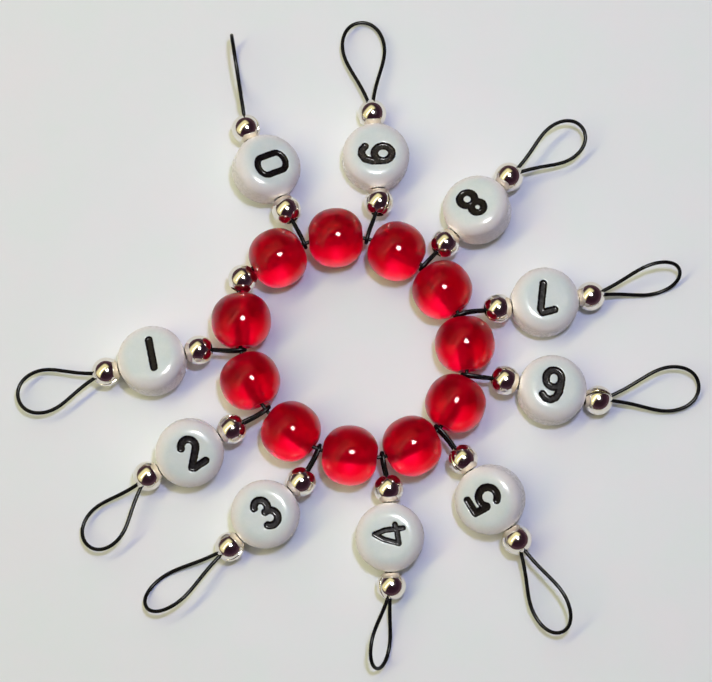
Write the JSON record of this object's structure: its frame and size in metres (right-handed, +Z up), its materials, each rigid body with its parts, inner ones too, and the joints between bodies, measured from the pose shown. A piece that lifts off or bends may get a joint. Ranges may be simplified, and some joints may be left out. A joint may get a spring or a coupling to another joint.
{
  "type": "knitting row counter",
  "caption": "Knitter's row counter: a beaded wire ring of red glass beads with hinged wire arms, each carrying a number bead and ending in a needle loop.",
  "frame": {"origin": "middle of the bounding box, on the surface the counter lies on", "axes": "+Z up, away from the surface; the digits are on top. -Y is towards the viewer, with the digit 4 nearest and the digit 9 farthest; +X is to the viewer's right, towards the digits 7 and 6."},
  "size_m": [0.07, 0.0678, 0.0061],
  "materials": {
    "red_glass": "polished transparent red",
    "white_plastic": "glossy white with black digits sunk in both faces",
    "silver": "polished silver plate",
    "wire": "glossy black nylon over steel"
  },
  "bodies": {
    "ring": {"ring_wire": "wire", "ring_crimp_tube": "silver", "ring_crimp_cover": "silver"},
    "arm_0": {"arm_wire_0": "wire", "inner_cover_0": "silver", "outer_cover_0": "silver"},
    "number_0": {"number_bead_0": "white_plastic"},
    "arm_9": {"arm_wire_9": "wire", "inner_cover_9": "silver", "outer_cover_9": "silver"},
    "number_9": {"number_bead_9": "white_plastic"},
    "arm_8": {"arm_wire_8": "wire", "inner_cover_8": "silver", "outer_cover_8": "silver"},
    "number_8": {"number_bead_8": "white_plastic"},
    "arm_7": {"arm_wire_7": "wire", "inner_cover_7": "silver", "outer_cover_7": "silver"},
    "number_7": {"number_bead_7": "white_plastic"},
    "arm_6": {"arm_wire_6": "wire", "inner_cover_6": "silver", "outer_cover_6": "silver"},
    "number_6": {"number_bead_6": "white_plastic"},
    "arm_5": {"arm_wire_5": "wire", "inner_cover_5": "silver", "outer_cover_5": "silver"},
    "number_5": {"number_bead_5": "white_plastic"},
    "arm_4": {"arm_wire_4": "wire", "inner_cover_4": "silver", "outer_cover_4": "silver"},
    "number_4": {"number_bead_4": "white_plastic"},
    "arm_3": {"arm_wire_3": "wire", "inner_cover_3": "silver", "outer_cover_3": "silver"},
    "number_3": {"number_bead_3": "white_plastic"},
    "arm_2": {"arm_wire_2": "wire", "inner_cover_2": "silver", "outer_cover_2": "silver"},
    "number_2": {"number_bead_2": "white_plastic"},
    "arm_1": {"arm_wire_1": "wire", "inner_cover_1": "silver", "outer_cover_1": "silver"},
    "number_1": {"number_bead_1": "white_plastic"},
    "red_bead_01": {"red_bead_01": "red_glass"},
    "red_bead_02": {"red_bead_02": "red_glass"},
    "red_bead_03": {"red_bead_03": "red_glass"},
    "red_bead_04": {"red_bead_04": "red_glass"},
    "red_bead_05": {"red_bead_05": "red_glass"},
    "red_bead_06": {"red_bead_06": "red_glass"},
    "red_bead_07": {"red_bead_07": "red_glass"},
    "red_bead_08": {"red_bead_08": "red_glass"},
    "red_bead_09": {"red_bead_09": "red_glass"},
    "red_bead_10": {"red_bead_10": "red_glass"},
    "red_bead_11": {"red_bead_11": "red_glass"}
  },
  "joints": [
    {"name": "swing_0", "type": "hinge", "parent": "ring", "child": "arm_0", "pos_m": [-0.00558, 0.00938, 0.00305], "axis": [0.9244, 0.3815, 0], "range_deg": [-50, 60]},
    {"name": "swing_9", "type": "hinge", "parent": "ring", "child": "arm_9", "pos_m": [0.00087, 0.0099, 0.00305], "axis": [0.9733, -0.2295, 0], "range_deg": [-50, 60]},
    {"name": "swing_8", "type": "hinge", "parent": "ring", "child": "arm_8", "pos_m": [0.00658, 0.00701, 0.00305], "axis": [0.7532, -0.6578, 0], "range_deg": [-50, 60]},
    {"name": "swing_7", "type": "hinge", "parent": "ring", "child": "arm_7", "pos_m": [0.01021, 0.00194, 0.00305], "axis": [0.3764, -0.9265, 0], "range_deg": [-50, 60]},
    {"name": "swing_6", "type": "hinge", "parent": "ring", "child": "arm_6", "pos_m": [0.01091, -0.00425, 0.00305], "axis": [-0.1546, -0.988, 0], "range_deg": [-50, 60]},
    {"name": "swing_5", "type": "hinge", "parent": "ring", "child": "arm_5", "pos_m": [0.00806, -0.00978, 0.00305], "axis": [-0.7113, -0.7029, 0], "range_deg": [-50, 60]},
    {"name": "swing_4", "type": "hinge", "parent": "ring", "child": "arm_4", "pos_m": [0.00239, -0.0126, 0.00305], "axis": [-0.9889, -0.1486, 0], "range_deg": [-50, 60]},
    {"name": "swing_3", "type": "hinge", "parent": "ring", "child": "arm_3", "pos_m": [-0.00408, -0.01181, 0.00305], "axis": [-0.9246, 0.381, 0], "range_deg": [-50, 60]},
    {"name": "swing_2", "type": "hinge", "parent": "ring", "child": "arm_2", "pos_m": [-0.00942, -0.00777, 0.00305], "axis": [-0.6265, 0.7794, 0], "range_deg": [-50, 60]},
    {"name": "swing_1", "type": "hinge", "parent": "ring", "child": "arm_1", "pos_m": [-0.01198, -0.00169, 0.00305], "axis": [-0.1058, 0.9944, 0], "range_deg": [-50, 60]},
    {"name": "spin_number_0", "type": "hinge", "parent": "arm_0", "child": "number_0", "pos_m": [-0.00956, 0.01736, 0.00268], "axis": [-0.438, 0.898, -0.0418], "continuous": true},
    {"name": "spin_number_9", "type": "hinge", "parent": "arm_9", "child": "number_9", "pos_m": [0.00175, 0.0187, 0.00224], "axis": [-0.0695, 0.9935, -0.0902], "continuous": true},
    {"name": "spin_number_8", "type": "hinge", "parent": "arm_8", "child": "number_8", "pos_m": [0.01219, 0.01303, 0.00274], "axis": [0.6815, 0.7308, -0.0374], "continuous": true},
    {"name": "spin_number_7", "type": "hinge", "parent": "arm_7", "child": "number_7", "pos_m": [0.01902, 0.00343, 0.00224], "axis": [0.9849, 0.1472, -0.0906], "continuous": true},
    {"name": "spin_number_6", "type": "hinge", "parent": "arm_6", "child": "number_6", "pos_m": [0.01963, -0.0057, 0.00233], "axis": [0.9767, -0.1987, -0.0813], "continuous": true},
    {"name": "spin_number_5", "type": "hinge", "parent": "arm_5", "child": "number_5", "pos_m": [0.01321, -0.01688, 0.00281], "axis": [0.5517, -0.8336, -0.0279], "continuous": true},
    {"name": "spin_number_4", "type": "hinge", "parent": "arm_4", "child": "number_4", "pos_m": [0.00314, -0.02063, 0.00225], "axis": [0.026, -0.9948, -0.0983], "continuous": true},
    {"name": "spin_number_3", "type": "hinge", "parent": "arm_3", "child": "number_3", "pos_m": [-0.00941, -0.01832, 0.00224], "axis": [-0.7398, -0.6662, -0.0941], "continuous": true},
    {"name": "spin_number_2", "type": "hinge", "parent": "arm_2", "child": "number_2", "pos_m": [-0.01709, -0.0121, 0.00248], "axis": [-0.8728, -0.4838, -0.0645], "continuous": true},
    {"name": "spin_number_1", "type": "hinge", "parent": "arm_1", "child": "number_1", "pos_m": [-0.02102, -0.0027, 0.00245], "axis": [-0.9723, -0.2245, -0.0657], "continuous": true},
    {"name": "spin_red_bead_01", "type": "hinge", "parent": "ring", "child": "red_bead_01", "pos_m": [-0.00829, 0.0079, 0.00305], "axis": [0.9023, 0.4311, 0], "continuous": true},
    {"name": "spin_red_bead_02", "type": "hinge", "parent": "ring", "child": "red_bead_02", "pos_m": [-0.00236, 0.01003, 0.00305], "axis": [0.998, 0.0638, 0], "continuous": true},
    {"name": "spin_red_bead_03", "type": "hinge", "parent": "ring", "child": "red_bead_03", "pos_m": [0.00388, 0.00861, 0.00305], "axis": [0.8942, -0.4477, 0], "continuous": true},
    {"name": "spin_red_bead_04", "type": "hinge", "parent": "ring", "child": "red_bead_04", "pos_m": [0.00853, 0.00458, 0.00305], "axis": [0.5805, -0.8143, 0], "continuous": true},
    {"name": "spin_red_bead_05", "type": "hinge", "parent": "ring", "child": "red_bead_05", "pos_m": [0.0108, -0.00108, 0.00305], "axis": [0.1073, -0.9942, 0], "continuous": true},
    {"name": "spin_red_bead_06", "type": "hinge", "parent": "ring", "child": "red_bead_06", "pos_m": [0.0098, -0.00715, 0.00305], "axis": [-0.461, -0.8874, 0], "continuous": true},
    {"name": "spin_red_bead_07", "type": "hinge", "parent": "ring", "child": "red_bead_07", "pos_m": [0.00538, -0.0115, 0.00305], "axis": [-0.8952, -0.4456, 0], "continuous": true},
    {"name": "spin_red_bead_08", "type": "hinge", "parent": "ring", "child": "red_bead_08", "pos_m": [-0.0009, -0.01246, 0.00305], "axis": [-0.9928, 0.12, 0], "continuous": true},
    {"name": "spin_red_bead_09", "type": "hinge", "parent": "ring", "child": "red_bead_09", "pos_m": [-0.00686, -0.01001, 0.00305], "axis": [-0.7984, 0.6021, 0], "continuous": true},
    {"name": "spin_red_bead_10", "type": "hinge", "parent": "ring", "child": "red_bead_10", "pos_m": [-0.01103, -0.00483, 0.00305], "axis": [-0.4059, 0.9139, 0], "continuous": true},
    {"name": "spin_red_bead_11", "type": "hinge", "parent": "ring", "child": "red_bead_11", "pos_m": [-0.01198, 0.00135, 0.00305], "axis": [-0.0616, 0.9981, 0], "continuous": true}
  ]
}
